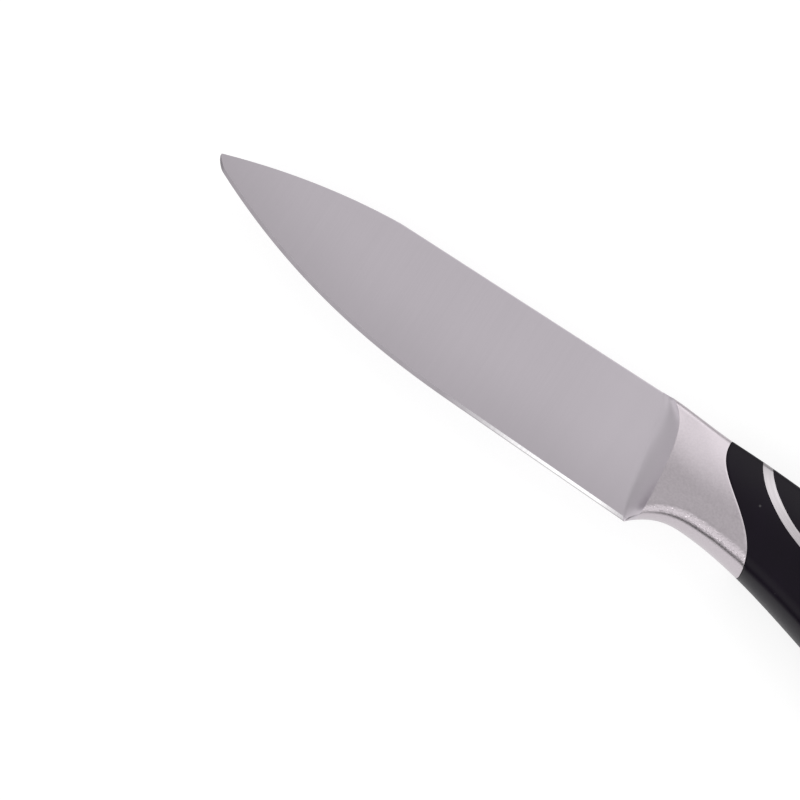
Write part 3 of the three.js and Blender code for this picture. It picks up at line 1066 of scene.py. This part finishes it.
def bolster_rings(form):
    """Rings from the feather edge on the blade over the ridge to the joint."""
    b, g = form.bolster, form.grip
    base = lambda x, y: form.blade_half(x, y) + b.feather

    def scoop(t):
        bend = lambda share: mix(b.scoop_bend_belly, b.scoop_bend, smooth(share, *SCOOP_CHANGE))
        shape = lambda x, y, z, share: mix(base(x, y), z, b.ridge_share * t ** bend(share))
        return form.side_ring(lambda s: mix(form.scoop_start(s), form.ridge(s), t), 0.0, shape)

    def swell(x, y, z, share):
        left = 1 - np.clip((x - form.ridge(share)) / b.ridge_flow, 0, 1)
        return mix(z, base(x, y), (1 - b.ridge_share) * left**2)

    def cheek(t):
        return form.side_ring(lambda s: mix(form.ridge(s), rear(s), t), 0.0, swell)

    rear = lambda share: form.joint(share) - g.seam - g.seam_round
    rows = [scoop(1 - t) for t in (1 - steps(SCOOP_STEPS)) ** RIDGE_CROWDING]
    rows += [cheek(t) for t in steps(CHEEK_STEPS)[1:] ** RIDGE_CROWDING]
    for along, drawn in rim_turns(g.seam_round)[::-1]:
        rows.append(form.side_ring(lambda s: rear(s) + g.seam_round - along, drawn, swell))

    # Take the knife edge off the ridge
    rows = np.array(rows)
    near = slice(SCOOP_STEPS - 2, SCOOP_STEPS + 3)
    before, after = (slice(near.start + step, near.stop + step) for step in (-1, 1))
    for _ in range(RIDGE_PASSES):
        rows[near] = (rows[before] + 2 * rows[near] + rows[after]) / 4
    return [closed_ring(row) for row in rows]


class KNIFE_OT_grip(bpy.types.Operator):
    """Builds the two black halves of the grip with the groove for the bow"""

    bl_idname = "knife.grip"
    bl_label = "Grip Halves"

    def execute(self, context):
        form = Form(context.scene)
        left = loft("grip_left", grip_rings(form, mirror=0))
        seam = form.grip.seam
        groove = bow_band(form, seam, "bow_groove")
        core = grip_rings(form, form.bow.depth + seam, overrun=CORE_OVERRUN)
        carve(groove, [loft("groove_floor", core)])
        carve(left, [groove, tang_room(form), *pin_cutters()])
        finish_normals(left.data, CARVED_CREASE)
        right = mirror_twin(left, "grip_right")
        black = grip_black(context.scene.knife_colours)
        dress(left, "handle_half_left", "grip_plastic", black)
        dress(right, "handle_half_right", "grip_plastic", black)
        return {"FINISHED"}


class KNIFE_OT_bows(bpy.types.Operator):
    """Builds the two steel bows let into the grip"""

    bl_idname = "knife.bows"
    bl_label = "Bow Strips"

    def execute(self, context):
        form = Form(context.scene)
        left = loft("bow_left", grip_rings(form, -form.bow.proud, mirror=0))
        carve(left, [bow_band(form, 0.0, "bow_outline")], "INTERSECT")
        core = grip_rings(form, form.bow.depth, overrun=CORE_OVERRUN)
        carve(left, [loft("bow_back", core)])
        finish_normals(left.data, CARVED_CREASE)
        right = mirror_twin(left, "bow_right")
        steel = bow_brushed(context.scene.knife_colours, form)
        dress(left, "bow_strip_left", "bow_steel", steel)
        dress(right, "bow_strip_right", "bow_steel", steel)
        return {"FINISHED"}


class KNIFE_OT_cap(bpy.types.Operator):
    """Builds the butt cap with its rounded end"""

    bl_idname = "knife.cap"
    bl_label = "Butt Cap"

    def execute(self, context):
        form = Form(context.scene)
        g = form.grip
        front = lambda share: form.cap_joint(share) + g.seam
        shoulder = lambda share: form.butt(share) - g.butt_round
        rims = rim_turns(g.seam_round)
        rows = [form.side_ring(lambda s: front(s) + along, drawn) for along, drawn in rims]
        for t in steps(CAP_STEPS):
            rows.append(form.side_ring(lambda s: mix(front(s) + g.seam_round, shoulder(s), t)))
        for turn in steps(BUTT_STEPS)[1:] * math.pi / 2:
            past = g.butt_round * math.sin(turn)
            inset = g.butt_round * (1 - math.cos(turn))
            rows.append(form.side_ring(lambda s: shoulder(s) + past, inset))
        piece = loft("cap_cast", [closed_ring(row) for row in rows])
        carve(piece, [tang_room(form)])
        finish_normals(piece.data, CARVED_CREASE)
        cast = shared_material("bolster_satin", bolster_satin, context.scene.knife_colours)
        dress(piece, "butt_cap", "bolster_steel", cast)
        return {"FINISHED"}


class KNIFE_OT_pins(bpy.types.Operator):
    """Gives the hidden tang pins their drawn steel"""

    bl_idname = "knife.pins"
    bl_label = "Tang Pins"

    def execute(self, context):
        steel = pin_drawn(context.scene.knife_colours)
        for node in PIN_NODES:
            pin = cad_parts[node]
            pin.data.materials.clear()
            pin.data.materials.append(steel)
        return {"FINISHED"}


class KNIFE_OT_stage(bpy.types.Operator):
    """Builds floor, light and camera"""

    bl_idname = "knife.stage"
    bl_label = "Studio"

    def execute(self, context):
        scene = context.scene
        scene.view_settings.view_transform = "Standard"
        build_floor(scene.knife_stage, scene.knife_colours)
        build_world(scene)
        build_lamps()
        build_camera(scene)
        return {"FINISHED"}


def build_floor(stage, colours):
    """Pale floor that reads as white and keeps the knife's shadow."""
    half = stage.floor_size / 2
    corners = [(-half, -half, 0), (half, -half, 0), (half, half, 0), (-half, half, 0)]
    mesh = bpy.data.meshes.new("floor")
    mesh.from_pydata(corners, [], [(0, 1, 2, 3)])
    floor = bpy.data.objects.new("floor", mesh)
    bpy.context.collection.objects.link(floor)
    material, sheet, shader, place = new_material(
        "studio_floor", 0.0, Roughness=0.9, Specular_IOR_Level=0.0
    )
    dark, light = opaque(colours.floor, 0.995), opaque(colours.floor, 1.005)
    tone = sheet.blend(sheet.noise(place, 40.0), dark, light)
    sheet.join(tone, shader.inputs["Base Color"])
    rays = sheet.node("ShaderNodeLightPath").outputs
    seen = sheet.math("MAXIMUM", rays["Is Camera Ray"], rays["Is Glossy Ray"])
    seen = sheet.math("MAXIMUM", seen, rays["Is Transmission Ray"])
    fill = sheet.node("ShaderNodeEmission")
    sheet.join(sheet.math("MULTIPLY", seen, stage.floor_fill), fill.inputs["Strength"])
    total = sheet.node("ShaderNodeAddShader")
    sheet.join(shader.outputs[0], total.inputs[0])
    sheet.join(fill.outputs[0], total.inputs[1])
    sheet.join(total.outputs[0], material.node_tree.nodes["Material Output"].inputs["Surface"])
    mesh.materials.append(material)


# Light straight above, and what is added between two angles from there in degrees, plus toward
# the spine. The first gain holds square to the knife, the second along it, past point and butt.
ZENITH = (0.5, 0.59)
SKY_BANDS = (
    (6, 40, 0.75, 0.12),
    (24, 44, 0.5, -0.2),
    (42, 60, -1.1, 0.0),
    (4, -22, 0.84, -0.25),
    (-18, -44, 0.0, 0.55),
    (-50, -72, -1.34, 0.0),
)
# How far a direction runs along the knife, between the two gains
ENDWAYS = (0.2, 0.8)


def build_world(scene):
    """Soft studio dome, shaded round the knife's long axis."""
    world = bpy.data.worlds.new("studio")
    scene.world = world
    world.use_nodes = True
    sheet = Sheet(world.node_tree)
    parts = sheet.split(sheet.node("ShaderNodeTexCoord").outputs["Generated"])
    lean = sheet.math("ARCTAN2", parts["Y"], parts["Z"])
    ends = sheet.span(sheet.math("ABSOLUTE", parts["X"]), *ENDWAYS)
    level = sheet.span(ends, 0.0, 1.0, *ZENITH)
    for start, end, square, endways in SKY_BANDS:
        share = sheet.span(lean, math.radians(start), math.radians(end))
        gain = sheet.span(ends, 0.0, 1.0, square, endways)
        level = sheet.math("ADD", sheet.math("MULTIPLY", share, gain), level)
    sky = world.node_tree.nodes["Background"]
    sky.inputs["Color"].default_value = (1, 1, 1, 1)
    sheet.join(level, sky.inputs["Strength"])


# Name, place, width, height and power
SOFTBOXES = (
    ("softbox_belly", (0.0, -0.66, 0.75), 2.0, 0.5, 0.5),
    ("softbox_spine", (0.0, 0.6, 0.8), 2.0, 0.5, 0.5),
)


def build_lamps():
    """Large softboxes on both long sides of the knife."""
    for name, place, width, height, power in SOFTBOXES:
        lamp = bpy.data.lights.new(name, "AREA")
        lamp.shape = "RECTANGLE"
        lamp.size, lamp.size_y = width, height
        lamp.energy = power
        box = bpy.data.objects.new(name, lamp)
        box.location = place
        box.rotation_euler = (-Vector(place)).to_track_quat("-Z", "Y").to_euler()
        box.visible_camera = False
        bpy.context.collection.objects.link(box)


def build_camera(scene):
    """Camera that sees the heel at its pixel and the long axis at its fall."""
    stage = scene.knife_stage
    lens = bpy.data.cameras.new("camera")
    lens.lens = stage.lens
    lens.sensor_width = stage.sensor
    lens.clip_start = 0.01
    camera = bpy.data.objects.new("camera", lens)
    bpy.context.collection.objects.link(camera)
    back = Vector((0, -math.sin(stage.tilt), math.cos(stage.tilt)))
    over = Vector((0, math.cos(stage.tilt), math.sin(stage.tilt)))
    along = Vector((1, 0, 0))
    right = along * math.cos(stage.turn) + over * math.sin(stage.turn)
    up = over * math.cos(stage.turn) - along * math.sin(stage.turn)
    distance = stage.picture * stage.pixel * stage.lens / stage.sensor
    aside = (stage.heel_right - stage.picture / 2) * stage.pixel
    below = (stage.heel_down - stage.picture / 2) * stage.pixel
    turned = Matrix((right, up, back)).transposed().to_4x4()
    turned.translation = Vector(HEEL) - right * aside + up * below + back * distance
    camera.matrix_world = turned
    scene.camera = camera


class KNIFE_PT_panel(bpy.types.Panel):
    """Lists the pieces and their sizes"""

    bl_idname = "KNIFE_PT_panel"
    bl_label = "Kitchen Knife"
    bl_space_type = "VIEW_3D"
    bl_region_type = "UI"
    bl_category = "Knife"

    def draw(self, context):
        for operator in OPERATORS:
            self.layout.operator(operator.bl_idname)
        for name in SETTINGS:
            box = self.layout.box()
            group = getattr(context.scene, name)
            for key in group.__annotations__:
                box.prop(group, key)


OPERATORS = (
    KNIFE_OT_blade,
    KNIFE_OT_bolster,
    KNIFE_OT_grip,
    KNIFE_OT_bows,
    KNIFE_OT_cap,
    KNIFE_OT_pins,
    KNIFE_OT_stage,
)
SETTINGS = {
    "knife_blade": BladeSizes,
    "knife_bolster": BolsterSizes,
    "knife_grip": GripSizes,
    "knife_bow": BowSizes,
    "knife_colours": KnifeColours,
    "knife_stage": StageSettings,
}


def register():
    for group in (*SETTINGS.values(), *OPERATORS, KNIFE_PT_panel):
        bpy.utils.register_class(group)
    for name, group in SETTINGS.items():
        setattr(bpy.types.Scene, name, PointerProperty(type=group))


def unregister():
    for name in SETTINGS:
        delattr(bpy.types.Scene, name)
    for group in reversed((*SETTINGS.values(), *OPERATORS, KNIFE_PT_panel)):
        bpy.utils.unregister_class(group)


def main():
    """Builds the knife and its studio."""
    register()
    bpy.ops.knife.stage()
    bpy.ops.knife.blade()
    bpy.ops.knife.bolster()
    bpy.ops.knife.grip()
    bpy.ops.knife.bows()
    bpy.ops.knife.cap()
    bpy.ops.knife.pins()


if __name__ == "__main__":
    main()
